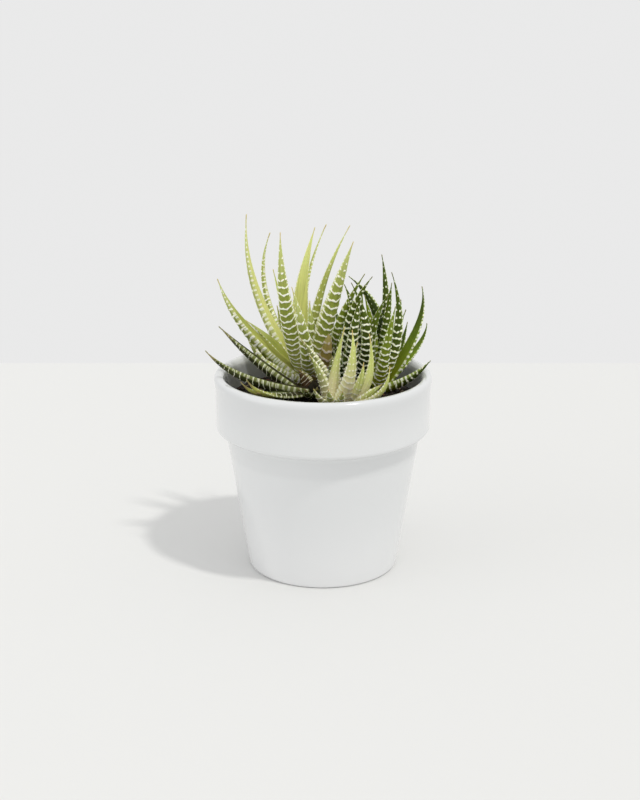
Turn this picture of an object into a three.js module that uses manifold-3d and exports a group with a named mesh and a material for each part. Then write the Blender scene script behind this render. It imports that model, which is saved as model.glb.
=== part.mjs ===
// Potted haworthia: five banded rosettes rooted in dark potting soil in a glazed white pot.
// Millimetres, +Z up. The origin is the middle of the pot's foot, on the surface that it stands on.
// +X is to the right and +Y to the back of the pot as the plant is usually seen.

import * as THREE from 'three';
import { mergeVertices } from 'three/addons/utils/BufferGeometryUtils.js';
import Module from 'manifold-3d';

const wasm = await Module();
wasm.setup();

// Pot: outer sizes of the tapered body, the rim band and the rounded lip.
const potHeight = 102;
const footRadius = 38.3;
const footRounding = 1.6;
const bodyTopRadius = 49.8;
const bandBottom = 73.3;
const bandRadius = 54.4;
const bandRounding = 2.4;
const lipRadius = 55;
const lipInnerRadius = 50.2;
const lipDepth = 3;
const lipFlare = 1;
const wall = 4.4;
const floorThickness = 6;
const potSides = 48;

// Soil: its surface lies a finger's width under the lip, a little uneven, and keeps clear of the pot.
// Its swells are named by their lengths along x, along y and across both.
const soilTop = 88.6;
const soilUnevenness = 0.5;
const soilRings = 4;
const swellAlongX = 30;
const swellAlongY = 37;
const swellAcross = 17;
const levelEdge = 1;
const fit = 0.3;

// Rootstock of a rosette: a short stem that stands in a plain hole in the soil.
const stemBottom = 79;
const stemSides = 12;
const stemNarrowing = 0.8;
const domeStart = 2;
const domeShoulder = 4.2;
const domeTop = 7;

// Leaf: a cone bent along a curve, with a section of six corners.
const leafRings = 15;
const tipHalfWidth = 0.45;
const tipThickness = 0.8;
const usualTaper = 2.6;
const attenuation = 1.2;
const thicknessShare = 0.5;
const bandRise = 0.1;
const plainTipRings = 2;
const usualHold = 0.55;
const rootShare = 0.65;
const axisThrough = -0.3;

// Across and through a leaf, from its right margin round by the upper face: the upper face is nearly
// flat, a little raised in the middle, and the lower face is full, with a keel.
const leafSection = [
  [1, 0],
  [0, 0.2],
  [-1, 0],
  [-0.66, -0.62],
  [0, -1],
  [0.66, -0.62],
];

// Low hidden leaves: how far they spread about their even turns, their lean and their length, and how
// much lower they set out and how much higher they end than that lean.
const turnSpread = 8;
const leanSpread = 10;
const lengthSpread = 0.2;
const lowStart = 8;
const highEnd = 6;
const firstSeed = 101;

// Each rosette: the middle of its stem, the height that its first leaves grow at, and its leaves.
// A leaf sets out from the stem at a turn (degrees round from +X) and a lean (degrees from upright),
// holds that direction for a share of its way and bends to its tip. It may be rooted at another side
// of the stem, named as its seat, and higher than the crown by its rise. Its lower face looks away
// from the stem, or to the side named as its facing. Low leaves that others hide fill a sector by rule.
const rosettes = [
  {
    name: 'main_rosette',
    color: 0x9aae4e,
    stem: [-8, 16],
    stemRadius: 4.4,
    crown: 97,
    leaves: [
      {
        turn: 202, facing: 176, lean: 51,
        tip: [-51.7, -8, 152], width: 13.4, hold: 0.66, taper: 1.5,
      },
      {
        turn: 161, facing: 168, lean: 39,
        tip: [-38.4, 20, 179], width: 10.4, rise: 2, hold: 0.62, taper: 1.6,
      },
      { turn: 130, facing: 190, lean: 54, tip: [-27, 34, 167], width: 5.8, rise: 3, hold: 0.8 },
      { turn: 240, facing: 264, lean: 34, tip: [-21, -2, 174], width: 9.8, rise: 2, taper: 2 },
      { turn: 118, lean: 50, tip: [-26, 38, 147], width: 4, rise: 3 },
      { turn: 274, lean: 50, tip: [-15.5, -8, 148], width: 7.2, rise: 1, hold: 0.5 },
      {
        turn: 151, facing: 98, lean: 9,
        tip: [-4, 28, 171], width: 11.2, rise: 4, hold: 0.5, taper: 1.7,
      },
      {
        turn: 100, facing: 190, lean: 37,
        tip: [2, 41, 170], width: 5.2, rise: 3, hold: 0.62, taper: 2,
      },
      { turn: 292, lean: 14, tip: [-7, 8, 136], width: 6.2, rise: 3 },
      {
        turn: 78, facing: 280, lean: 10,
        tip: [14, 33, 171], width: 5.6, rise: 2, hold: 0.51, taper: 1.7,
      },
      { turn: 20, facing: 300, lean: 6, tip: [8, 26, 144], width: 6.4, rise: 1, hold: 0.62 },
      { turn: 317, facing: 286, lean: 18, tip: [15, 0, 169], width: 9.8, rise: 1, taper: 2.3 },
      { turn: 2, lean: 24, tip: [6, 19, 141], width: 5.4, rise: 1 },
      { turn: 322, facing: 284, lean: 50, tip: [1.6, 6.4, 125.5], width: 8.6 },
      { turn: 222, facing: 246, lean: 70, tip: [-30.4, 3, 109], width: 8.6, rise: -3, hold: 0.6 },
      { turn: 222, facing: 205, lean: 75, tip: [-41, 9, 126.3], width: 8, rise: -3, hold: 0.62 },
      { turn: 190, facing: 150, lean: 36, tip: [-39.5, 9, 127], width: 9.6, hold: 0.5, taper: 1.6 },
    ],
    hidden: { count: 6, from: 40, to: 150, lean: 48, length: 42, width: 6 },
  },
  {
    name: 'middle_rosette',
    color: 0x4d6a2c,
    stem: [14, 13],
    stemRadius: 4,
    crown: 93,
    leaves: [
      { turn: 167, facing: 250, lean: 30, tip: [21, 4, 152], width: 7, rise: 1, hold: 0.41 },
      { turn: 223, facing: 262, lean: 8, tip: [24.5, -3, 152], width: 5.8, rise: 1, hold: 0.59 },
      { turn: 296, lean: 17, tip: [10.5, 11, 145], width: 6, rise: 2, hold: 0.7 },
      { turn: 314, facing: 276, lean: 38, tip: [14, 6, 147], width: 6.2, rise: 1, hold: 0.59 },
      { turn: 60, lean: 26, tip: [20, 18, 139.5], width: 4.6, rise: 3 },
      { turn: 309, facing: 270, lean: 12, tip: [15.6, 6, 138.6], width: 5.4, rise: 2, hold: 0.59 },
      { turn: 120, lean: 14, tip: [6, 22, 131], width: 5, rise: 2 },
      { turn: 268, lean: 24, tip: [19, 1, 142], width: 6.2, rise: 2 },
    ],
    hidden: { count: 5, from: 180, to: 330, lean: 24, length: 30, width: 5.6 },
  },
  {
    name: 'right_rosette',
    color: 0x46652a,
    stem: [28, 7],
    stemRadius: 4.2,
    crown: 92.5,
    leaves: [
      { turn: 65, facing: 250, lean: 27, tip: [13, 21, 147], width: 7, rise: 2, hold: 0.68 },
      { turn: 68, facing: 255, lean: 27, tip: [30, 25, 157.5], width: 5.4, rise: 3, hold: 0.59 },
      { turn: 65, facing: 255, lean: 16, tip: [35, 17, 144.5], width: 5.4, rise: 3, hold: 0.59 },
      { turn: 138, facing: 265, lean: 23, tip: [33, 13.4, 139], width: 6, rise: 2.4, hold: 0.5 },
      {
        seat: 230, turn: 341, facing: 268, lean: 34,
        tip: [34, 3, 153], width: 7.6, rise: 1, hold: 0.58, taper: 1.6,
      },
      { turn: 42, lean: 42, tip: [39.5, 16, 136], width: 4.8, rise: 2 },
      { turn: 16, lean: 14, tip: [42, 11, 132], width: 4.6, rise: 2 },
      { turn: 281, lean: 30, tip: [36, -3, 137], width: 5.8, rise: 2 },
      {
        turn: 0, facing: 40, lean: 36,
        tip: [49.4, 6, 145], width: 7, rise: 1, hold: 0.73, taper: 1.6,
      },
      {
        turn: 25, facing: 50, lean: 55,
        tip: [53.6, 22, 122], width: 5, rise: 1, hold: 0.79, taper: 1.8,
      },
      {
        turn: 353, facing: 305, lean: 74,
        tip: [54.3, 0, 108.2], width: 8.2, rise: 0.5, hold: 0.58, taper: 1.8,
      },
      { turn: 95, facing: 262, lean: 22, tip: [21, 14.4, 138.5], width: 5.2, rise: 2, hold: 0.57 },
    ],
    hidden: { count: 4, from: 45, to: 120, lean: 46, length: 36, width: 5.4 },
  },
  {
    name: 'front_rosette',
    color: 0xb5bd78,
    stem: [6.6, -19],
    stemRadius: 4.8,
    crown: 92.5,
    leaves: [
      {
        seat: 180, turn: 97, facing: 235, lean: 44,
        tip: [-12, -12, 123.6], width: 8, rise: 1, hold: 0.51,
      },
      {
        seat: 205, turn: 180, facing: 225, lean: 12,
        tip: [-6.8, -16, 115.6], width: 6.4, rise: 1, hold: 0.5,
      },
      {
        seat: 235, turn: 141, facing: 250, lean: 2,
        tip: [10.8, -13, 129.3], width: 7.4, rise: 1, hold: 0.34, taper: 1.5,
      },
      {
        turn: 303, facing: 280, lean: 36,
        tip: [14, -24, 130.4], width: 8, rise: 1, hold: 0.67, taper: 1.5,
      },
      {
        turn: 343, facing: 292, lean: 75,
        tip: [22.7, -14, 126], width: 7.6, rise: 1, hold: 0.54, taper: 1.7,
      },
      { turn: 328, facing: 290, lean: 58, tip: [19.8, -24, 114], width: 6 },
      {
        turn: 337, facing: 295, lean: 89,
        tip: [32.6, -22, 111.5], width: 5.6, rise: 0.6, hold: 0.84, taper: 1.7,
      },
      { turn: 340, facing: 290, lean: 84, tip: [29.1, -20, 101.6], width: 7, rise: 1, hold: 0.56 },
      { turn: 40, lean: 20, tip: [17, -12, 121], width: 4.8, rise: 2 },
      { turn: 98, facing: 262, lean: 34, tip: [4.5, -8, 113], width: 7.6, rise: 1 },
    ],
    hidden: { count: 3, from: 215, to: 290, lean: 62, length: 18, width: 5 },
  },
  {
    name: 'left_rosette',
    color: 0x4b5a2a,
    stem: [-5, -6],
    stemRadius: 3.8,
    crown: 92.5,
    leaves: [
      { turn: 172, facing: 196, lean: 58, tip: [-52, -4, 127], width: 9.4 },
      {
        turn: 192, facing: 240, lean: 80,
        tip: [-58.6, -8, 115.5], width: 11, rise: 2.5, hold: 0.73, taper: 1.3,
      },
      { turn: 198, facing: 258, lean: 85, tip: [-33.2, -30, 100], width: 8.2, rise: 1, hold: 0.61 },
      {
        turn: 220, facing: 80, lean: 90,
        tip: [-40.4, -25, 104.3], width: 4.6, rise: 0.4, hold: 0.82,
      },
      {
        turn: 225, facing: 80, lean: 90,
        tip: [-37.6, -25.6, 105.8], width: 4.6, rise: 0.4, hold: 0.84,
      },
      { turn: 125, facing: 230, lean: 26, tip: [-12.6, -1, 103.6], width: 8, rise: 2 },
    ],
    hidden: { count: 3, from: 220, to: 290, lean: 66, length: 13, width: 4.6 },
  },
];

// Seeded draws between 0 and 1, the same in each run.
function seededDraws(seed) {
  const factor = 16807;
  const modulus = 2 ** 31 - 1;
  let state = seed;
  return () => {
    state = (state * factor) % modulus;
    return state / modulus;
  };
}

// A closed three.js geometry as a solid, with its shared vertices merged and collapsed faces dropped.
function solidOf(geometry) {
  const bare = geometry.index ? geometry.clone() : geometry;
  bare.deleteAttribute('normal');
  bare.deleteAttribute('uv');
  const samePlace = 1e-4;
  const merged = mergeVertices(bare, samePlace);
  const corners = merged.index.array;
  const kept = [];
  for (let i = 0; i < corners.length; i += 3) {
    const [a, b, c] = [corners[i], corners[i + 1], corners[i + 2]];
    if (a !== b && b !== c && c !== a) kept.push(a, b, c);
  }
  return new wasm.Manifold(new wasm.Mesh({
    numProp: 3,
    vertProperties: Float32Array.from(merged.attributes.position.array),
    triVerts: Uint32Array.from(kept),
  }));
}

// The largest connected body of a solid: sealed hollows are filled and loose scraps dropped by it.
function largestBody(solid) {
  const bodies = solid.decompose();
  return bodies.reduce((best, body) => (body.volume() > best.volume() ? body : best));
}

function meshOf(name, solid, finish) {
  const result = solid.getMesh();
  const geometry = new THREE.BufferGeometry();
  geometry.setAttribute('position', new THREE.BufferAttribute(result.vertProperties, 3));
  geometry.setIndex(new THREE.BufferAttribute(result.triVerts, 1));
  geometry.computeVertexNormals();
  const mesh = new THREE.Mesh(geometry, new THREE.MeshStandardMaterial(finish));
  mesh.name = name;
  return mesh;
}

// A lathe turned about +Z: three.js turns its profile about +Y.
function turned(profile, sides) {
  return new THREE.LatheGeometry(profile, sides).rotateX(Math.PI / 2);
}

// Points of a quarter round between two points of a profile, bulging towards the corner.
function quarterRound(from, corner, to, steps = 3) {
  return new THREE.QuadraticBezierCurve(from, corner, to).getPoints(steps);
}

function bodyRadiusAt(z) {
  return footRadius + (bodyTopRadius - footRadius) * (z / bandBottom);
}

// Radius of the pot's inner wall, which follows the body and opens straight up to the lip.
function innerRadiusAt(z) {
  if (z < bandBottom) return bodyRadiusAt(z) - wall;
  const share = (z - bandBottom) / (potHeight - bandBottom);
  return THREE.MathUtils.lerp(bodyTopRadius - wall, lipInnerRadius, share);
}

function pot() {
  const at = (x, y) => new THREE.Vector2(x, y);
  const lipCrest = (lipRadius + lipInnerRadius) / 2;
  const profile = [
    at(0, 0),
    ...quarterRound(
      at(footRadius - footRounding, 0),
      at(footRadius, 0),
      at(bodyRadiusAt(footRounding), footRounding),
      2,
    ),
    at(bodyTopRadius, bandBottom),
    ...quarterRound(
      at(bandRadius - bandRounding, bandBottom),
      at(bandRadius, bandBottom),
      at(bandRadius, bandBottom + bandRounding),
    ),
    at(bandRadius, potHeight - lipDepth - lipFlare),
    ...quarterRound(
      at(lipRadius, potHeight - lipDepth),
      at(lipRadius, potHeight),
      at(lipCrest, potHeight),
    ),
    ...quarterRound(
      at(lipCrest, potHeight),
      at(lipInnerRadius, potHeight),
      at(innerRadiusAt(potHeight - lipDepth), potHeight - lipDepth),
    ).slice(1),
    at(innerRadiusAt(bandBottom), bandBottom),
    at(innerRadiusAt(floorThickness), floorThickness),
    at(0, floorThickness),
  ];
  return solidOf(turned(profile, potSides));
}

// The soil's surface height: low swells, two thirds of them long and one third short.
function soilHeight(x, y) {
  const wave = (distance, length) => Math.sin((2 * Math.PI * distance) / length);
  const long = wave(x, swellAlongX) * wave(y + swellAlongY / 4, swellAlongY);
  const short = wave(x + y, swellAcross);
  return soilTop + (soilUnevenness * (2 * long + short)) / 3;
}

function soilBody() {
  const at = (x, y) => new THREE.Vector2(x, y);
  const bottom = floorThickness + fit;
  const edge = innerRadiusAt(soilTop) - fit;
  const profile = [
    at(0, bottom),
    at(innerRadiusAt(bottom) - fit, bottom),
    at(innerRadiusAt(bandBottom) - fit, bandBottom),
    at(edge, soilTop),
  ];
  for (let ring = soilRings - 1; ring >= 0; ring -= 1) {
    profile.push(at((edge * ring) / soilRings, soilTop));
  }
  const geometry = turned(profile, potSides);
  const position = geometry.attributes.position;
  for (let i = 0; i < position.count; i += 1) {
    const [x, y] = [position.getX(i), position.getY(i)];
    const inside = Math.hypot(x, y) < edge - levelEdge;
    const onTop = position.getZ(i) > bandBottom + levelEdge;
    if (inside && onTop) position.setZ(i, soilHeight(x, y));
  }
  return solidOf(geometry);
}

// The stem of a rosette, from its foot in the soil to a blunt dome among the leaf roots.
function stem(rosette) {
  const at = (x, y) => new THREE.Vector2(x, y);
  const radius = rosette.stemRadius;
  const profile = [
    at(0, stemBottom),
    at(radius * stemNarrowing, stemBottom),
    at(radius, rosette.crown - domeStart),
    at(radius * stemNarrowing, rosette.crown + domeShoulder),
    at(0, rosette.crown + domeTop),
  ];
  const [x, y] = rosette.stem;
  return solidOf(turned(profile, stemSides).translate(x, y, 0));
}

// The plain hole in the soil that a rosette's stem stands in.
function stemHole(rosette) {
  const radius = rosette.stemRadius + fit;
  const depth = potHeight - stemBottom + fit;
  const hole = new THREE.CylinderGeometry(radius, radius, depth, stemSides).rotateX(Math.PI / 2);
  const [x, y] = rosette.stem;
  return solidOf(hole.translate(x, y, potHeight - depth / 2));
}

function headingOf(turn, lean) {
  const [t, l] = [THREE.MathUtils.degToRad(turn), THREE.MathUtils.degToRad(lean)];
  return new THREE.Vector3(Math.sin(l) * Math.cos(t), Math.sin(l) * Math.sin(t), Math.cos(l));
}

// The middle line of a leaf, from just inside the stem to its tip.
function leafCurve(rosette, leaf) {
  const seat = headingOf(leaf.seat ?? leaf.turn, 90);
  const root = new THREE.Vector3(...rosette.stem, rosette.crown + (leaf.rise ?? 0));
  root.addScaledVector(seat, rosette.stemRadius * rootShare);
  const tip = new THREE.Vector3(...leaf.tip);
  const reach = (leaf.hold ?? usualHold) * root.distanceTo(tip);
  const bend = root.clone().addScaledVector(headingOf(leaf.turn, leaf.lean), reach);
  return new THREE.QuadraticBezierCurve3(root, bend, tip);
}

// A leaf: full at the root, tapering in a long curve to a fine tip, with cross bands that stand
// proud of its lower face and margins on every other ring.
function leafSolid(rosette, leaf) {
  const curve = leafCurve(rosette, leaf);
  const corners = leafSection.length;
  const geometry = new THREE.ConeGeometry(1, 1, corners, leafRings);
  const position = geometry.attributes.position;
  const facing = THREE.MathUtils.degToRad(leaf.facing ?? leaf.turn);
  const level = new THREE.Vector3(Math.sin(facing), -Math.cos(facing), 0);
  for (let i = 0; i < position.count; i += 1) {
    const along = position.getY(i) + 0.5;
    const ring = Math.round(along * leafRings);
    const around = Math.atan2(position.getZ(i), position.getX(i)) / (2 * Math.PI);
    const corner = Math.round((around + 1) * corners) % corners;
    const onAxis = Math.hypot(position.getX(i), position.getZ(i)) < 1e-6;
    const [across, through] = onAxis ? [0, axisThrough] : leafSection[corner];
    const fullness = (1 - along ** (leaf.taper ?? usualTaper)) ** attenuation;
    const halfWidth = Math.max((leaf.width / 2) * fullness, tipHalfWidth);
    const thickness = Math.max(leaf.width * thicknessShare * fullness, tipThickness);
    const banded = ring % 2 === 1 && ring < leafRings - plainTipRings && through <= 0;
    const band = banded ? 1 + bandRise : 1;
    const ahead = curve.getTangent(along);
    const side = level.clone().addScaledVector(ahead, -level.dot(ahead)).normalize();
    const upper = side.clone().cross(ahead);
    const point = curve.getPoint(along);
    point.addScaledVector(side, across * halfWidth * band);
    point.addScaledVector(upper, through * thickness * band);
    position.setXYZ(i, point.x, point.y, point.z);
  }
  return solidOf(geometry);
}

// The low leaves of a sector that the tall leaves hide, evenly turned, with small seeded draws.
function hiddenLeaves(rosette, draw) {
  const { count, from, to, lean, length, width } = rosette.hidden;
  return Array.from({ length: count }, (_, i) => {
    const turn = from + ((to - from) * (i + 0.5)) / count + (draw() - 0.5) * turnSpread;
    const leaned = lean + (draw() - 0.5) * leanSpread;
    const reach = length * (1 + (draw() - 0.5) * lengthSpread);
    const start = new THREE.Vector3(...rosette.stem, rosette.crown);
    const tip = start.addScaledVector(headingOf(turn, leaned - highEnd), reach);
    return { turn, lean: leaned + lowStart, tip: tip.toArray(), width };
  });
}

function rosetteSolid(rosette, index) {
  const draw = seededDraws(firstSeed + index);
  let solid = stem(rosette);
  for (const leaf of [...rosette.leaves, ...hiddenLeaves(rosette, draw)]) {
    solid = solid.add(leafSolid(rosette, leaf));
  }
  return largestBody(solid);
}

const plant = new THREE.Group();
plant.add(meshOf('planter', pot(), { color: 0xe6e8e9, roughness: 0.16, metalness: 0 }));

const soil = rosettes.reduce((body, rosette) => body.subtract(stemHole(rosette)), soilBody());
plant.add(meshOf('soil', soil, { color: 0x2c221b, roughness: 0.95, metalness: 0 }));

rosettes.forEach((rosette, index) => {
  const finish = { color: rosette.color, roughness: 0.5, metalness: 0 };
  plant.add(meshOf(rosette.name, rosetteSolid(rosette, index), finish));
});

export default plant;
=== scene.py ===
"""Potted haworthia: the glazed pot, the soil and five banded rosettes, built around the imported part.

Leaves are described in millimetres and degrees, and built in metres. +Z is up, +X is to the right
and +Y to the back, and the origin is the middle of the pot's foot.
"""

import logging
import math
from dataclasses import dataclass, field, replace
from enum import Enum

import bmesh
import bpy
from mathutils import Matrix, Vector, noise


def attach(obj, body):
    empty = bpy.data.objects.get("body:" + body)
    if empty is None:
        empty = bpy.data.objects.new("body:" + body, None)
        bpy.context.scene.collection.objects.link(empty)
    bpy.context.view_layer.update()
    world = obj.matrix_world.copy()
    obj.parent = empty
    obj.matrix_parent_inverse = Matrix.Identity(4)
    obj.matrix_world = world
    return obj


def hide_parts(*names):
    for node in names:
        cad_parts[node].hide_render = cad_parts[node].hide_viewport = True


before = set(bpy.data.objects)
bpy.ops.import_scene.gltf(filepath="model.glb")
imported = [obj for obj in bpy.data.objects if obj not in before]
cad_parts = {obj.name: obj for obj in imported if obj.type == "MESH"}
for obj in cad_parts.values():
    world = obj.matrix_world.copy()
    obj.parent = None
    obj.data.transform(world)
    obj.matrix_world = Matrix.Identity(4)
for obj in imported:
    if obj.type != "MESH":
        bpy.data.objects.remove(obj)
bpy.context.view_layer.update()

MM = 0.001
LOG = logging.getLogger("haworthia")

Rgb = tuple[float, float, float]
Place = tuple[float, float, float]
Point = tuple[float, float]
Span = tuple[float, float]

# Point attributes: a leaf point's place, its side and its leaf's look, and a soil point's crumb
PLACE = "place"
SIDE = "side"
LOOK = "look"
CRUMB = "crumb"

# Sockets of a Mix node for colours
MIX_SHARE = 0
MIX_LOW = 6
MIX_HIGH = 7
MIX_RESULT = 2


# Shader maths


class Shader:
    """A material's node tree, with short ways to add and join its nodes."""

    def __init__(self, name: str) -> None:
        """Makes an empty node material.

        Args:
            name: The material's name.
        """
        self.material = bpy.data.materials.new(name)
        self.material.use_nodes = True
        self.tree = self.material.node_tree
        self.tree.nodes.clear()

    def node(self, kind: str, inputs: dict | None = None, **settings: object) -> bpy.types.Node:
        """Adds a node.

        Args:
            kind: The node's Blender type.
            inputs: Values or signals by socket name or number.
            settings: Attributes of the node.

        Returns:
            The new node.
        """
        made = self.tree.nodes.new(kind)
        for key, value in settings.items():
            setattr(made, key, value)
        for key, value in (inputs or {}).items():
            self.feed(made.inputs[key], value)
        return made

    def feed(self, socket: bpy.types.NodeSocket, value: object) -> None:
        """Links a signal to a socket, or sets the socket's own value.

        Args:
            socket: The input socket.
            value: A signal, a number or a colour.
        """
        if isinstance(value, Signal):
            self.tree.links.new(value.socket, socket)
        elif isinstance(value, tuple) and len(value) == 3 and socket.type == "RGBA":
            socket.default_value = (*value, 1.0)
        else:
            socket.default_value = value

    def result(
        self, kind: str, inputs: dict, output: int | str = 0, **settings: object
    ) -> "Signal":
        """Adds a node as node() does and gives one of its outputs."""
        return Signal(self, self.node(kind, inputs, **settings).outputs[output])

    def split(self, vector: "Signal") -> "Triple":
        """The three numbers of a vector."""
        parts = self.node("ShaderNodeSeparateXYZ", {0: vector}).outputs
        return tuple(Signal(self, part) for part in parts)

    def attribute(self, name: str) -> "Triple":
        """The three numbers of a point attribute."""
        return self.split(self.result("ShaderNodeAttribute", {}, "Vector", attribute_name=name))

    def place(self) -> "Signal":
        """The object coordinates, in metres."""
        return self.result("ShaderNodeTexCoord", {}, "Object")

    def vector(self, x: object, y: object, z: object) -> "Signal":
        """Joins three numbers or signals into a vector."""
        return self.result("ShaderNodeCombineXYZ", {0: x, 1: y, 2: z})

    def noise(self, where: "Signal", scale: float, detail: float) -> "Signal":
        """Smooth noise between 0 and 1, as fine as its scale and with a count of finer layers."""
        inputs = {"Vector": where, "Scale": scale, "Detail": detail}
        return self.result("ShaderNodeTexNoise", inputs)

    def mix(self, low: object, high: object, share: object) -> "Signal":
        """Mixes two colours.

        Args:
            low: The colour where the share is 0.
            high: The colour where the share is 1.
            share: The high colour's share.

        Returns:
            The mixed colour.
        """
        inputs = {MIX_SHARE: share, MIX_LOW: low, MIX_HIGH: high}
        return self.result(
            "ShaderNodeMix", inputs, MIX_RESULT, data_type="RGBA", clamp_factor=True
        )

    def bump(self, height: "Signal", distance: float, strength: float) -> "Signal":
        """A normal that is bent by a height from 0 to 1, whose size is a distance in metres."""
        inputs = {"Height": height, "Distance": distance, "Strength": strength}
        return self.result("ShaderNodeBump", inputs)

    def surface(self, **inputs: object) -> bpy.types.Material:
        """Ends the tree with a principled surface.

        Args:
            inputs: Values or signals by socket name, with _ for a space.

        Returns:
            The finished material.
        """
        named = {key.replace("_", " "): value for key, value in inputs.items()}
        shader = self.node("ShaderNodeBsdfPrincipled", named)
        out = self.node("ShaderNodeOutputMaterial")
        self.tree.links.new(shader.outputs[0], out.inputs["Surface"])
        return self.material


class Signal:
    """An output socket that takes part in sums as a number does."""

    def __init__(self, shader: Shader, socket: bpy.types.NodeSocket) -> None:
        """Wraps an output socket and remembers the tree that it is in."""
        self.shader = shader
        self.socket = socket

    def maths(self, operation: str, *others: object) -> "Signal":
        """Adds a Math node with this signal as its first input and the others after it."""
        inputs = dict(enumerate((self, *others)))
        return self.shader.result("ShaderNodeMath", inputs, operation=operation)

    def _swapped(self, operation: str, first: float) -> "Signal":
        """Adds a Math node with this signal as its second input."""
        return self.shader.result("ShaderNodeMath", {0: first, 1: self}, operation=operation)

    def __add__(self, other: object) -> "Signal":
        """Sum."""
        return self.maths("ADD", other)

    __radd__ = __add__

    def __sub__(self, other: object) -> "Signal":
        """Difference."""
        return self.maths("SUBTRACT", other)

    def __rsub__(self, other: float) -> "Signal":
        """Difference from a number."""
        return self._swapped("SUBTRACT", other)

    def __mul__(self, other: object) -> "Signal":
        """Product."""
        return self.maths("MULTIPLY", other)

    __rmul__ = __mul__

    def __truediv__(self, other: object) -> "Signal":
        """Quotient."""
        return self.maths("DIVIDE", other)

    def __rtruediv__(self, other: float) -> "Signal":
        """Quotient of a number."""
        return self._swapped("DIVIDE", other)


Number = float | Signal
Triple = tuple[Signal, Signal, Signal]


def sine(x: Number) -> Number:
    """Sine of a number or signal."""
    return x.maths("SINE") if isinstance(x, Signal) else math.sin(x)


def floor(x: Number) -> Number:
    """Whole part of a number or signal."""
    return x.maths("FLOOR") if isinstance(x, Signal) else math.floor(x)


def size(x: Number) -> Number:
    """Size of a number or signal without its sign."""
    return x.maths("ABSOLUTE") if isinstance(x, Signal) else abs(x)


def clamped(x: Number) -> Number:
    """Keeps a number or signal between 0 and 1.

    Args:
        x: The number or signal.

    Returns:
        The share from 0 to 1.
    """
    if isinstance(x, Signal):
        return x.maths("MAXIMUM", 0.0).maths("MINIMUM", 1.0)
    return min(max(x, 0.0), 1.0)


def smooth(x: Number, low: Number, width: float) -> Number:
    """Share that rises smoothly from 0 where x is at the low limit to 1 where it is a width above."""
    t = clamped((x - low) / width)
    return t * t * (3.0 - 2.0 * t)


# Leaf pattern

TOOTH_PITCH = 2.2
TOOTH_PHASES = 20.0


def tooth_wave(along: Number, seed: Number) -> Number:
    """Wave from -1 to 1 along a leaf's margin in mm, whose crests are its teeth."""
    return sine(along * (2 * math.pi / TOOTH_PITCH) + seed * TOOTH_PHASES)


@dataclass(frozen=True)
class Bands:
    """Raised pale cross bands that break up into dots towards the tip.

    The same rule shapes the relief, with numbers, and colours it, with signals.

    Attributes:
        pitch: Distance from band to band on a middling leaf, mm.
        pitch_spread: How much that distance differs by leaf.
        line: A band's width, as a share of the pitch.
        soft: The width over which a band's edge fades, as a share of the pitch.
        start_spread: How far the first band's place differs by leaf, in bands.
        crowd: How much closer the bands lie at the root.
        sag: How a band bends off the keel: towards the tip where this is negative.
        lumps: How much a band swells and thins along its length.
        break_start: Share of the leaf where bands begin to break up into dots.
        break_end: Share of the leaf where only dots are left.
        thinning: How much thinner a broken band is.
        lump_shift: How far the lumps on a band shift at most, in radians.
        lump_phase: How that shift varies by band and by leaf. The other phases are like it.
    """

    pitch: float = 3.3
    pitch_spread: float = 0.3
    line: float = 0.32
    soft: float = 0.08
    start_spread: float = 7.0
    crowd: float = 0.4
    sag: float = -0.035
    slant: float = 0.045
    wobble: float = 0.07
    lumps: float = 0.42
    dot_pitch: float = 2.4
    break_start: float = 0.45
    break_end: float = 0.95
    thinning: float = 0.3
    lump_shift: float = 4.0
    lump_phase: Point = (12.9, 50.0)
    slant_phase: Point = (7.3, 11.0)
    wobble_phase: Point = (2.4, 9.0)

    def ridge(
        self, along: Number, across: Number, share: Number, seed: Number, strength: Number
    ) -> Number:
        """How much a point lies on a band.

        Args:
            along: Distance from the root, mm.
            across: Distance from the keel, mm.
            share: Distance from the root as a share of the leaf.
            seed: A number from 0 to 1 that differs by leaf.
            strength: How strongly the leaf is banded: weak bands break up nearer the root.

        Returns:
            A share from 0 to 1.
        """
        rest = 1.0 - share
        spread = along * (1.0 + self.crowd * rest * rest)
        own_pitch = (seed * self.pitch_spread + (1.0 - self.pitch_spread / 2)) * self.pitch
        bands = (spread + across * across * self.sag) / own_pitch + seed * self.start_spread
        band = floor(bands)

        def phase(rates: Point) -> Number:
            """A phase that differs by band and by leaf."""
            return band * rates[0] + seed * rates[1]

        shift = self.lump_shift * sine(phase(self.lump_phase))
        # Two waves across the leaf make dots of uneven size
        turns = across * (2 * math.pi / self.dot_pitch)
        dots = 0.5 + 0.34 * sine(turns + shift) + 0.16 * sine(turns * 2.3 + shift * 2.9)
        slant = across * self.slant * sine(phase(self.slant_phase))
        wobble = self.wobble * sine(across * 1.5 + phase(self.wobble_phase)) + slant
        offset = size(bands - band - 0.5 + wobble)
        broken = smooth(share + 1.0 - strength, self.break_start, self.break_end - self.break_start)
        swell = 1.0 - self.lumps + self.lumps * 1.4 * dots
        width = self.line * swell * (1.0 - broken * self.thinning)
        line = 1.0 - smooth(offset - width * 0.5, -self.soft / 2, self.soft)
        lowest_dot = broken * 1.05 - 0.45
        return line * smooth(dots, lowest_dot, 0.4)


class Pattern(Enum):
    """How strongly a leaf's lower face is banded."""

    BANDED = 1.0
    DOTTED = 0.7
    FAINT = 0.4


# Finishes


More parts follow.
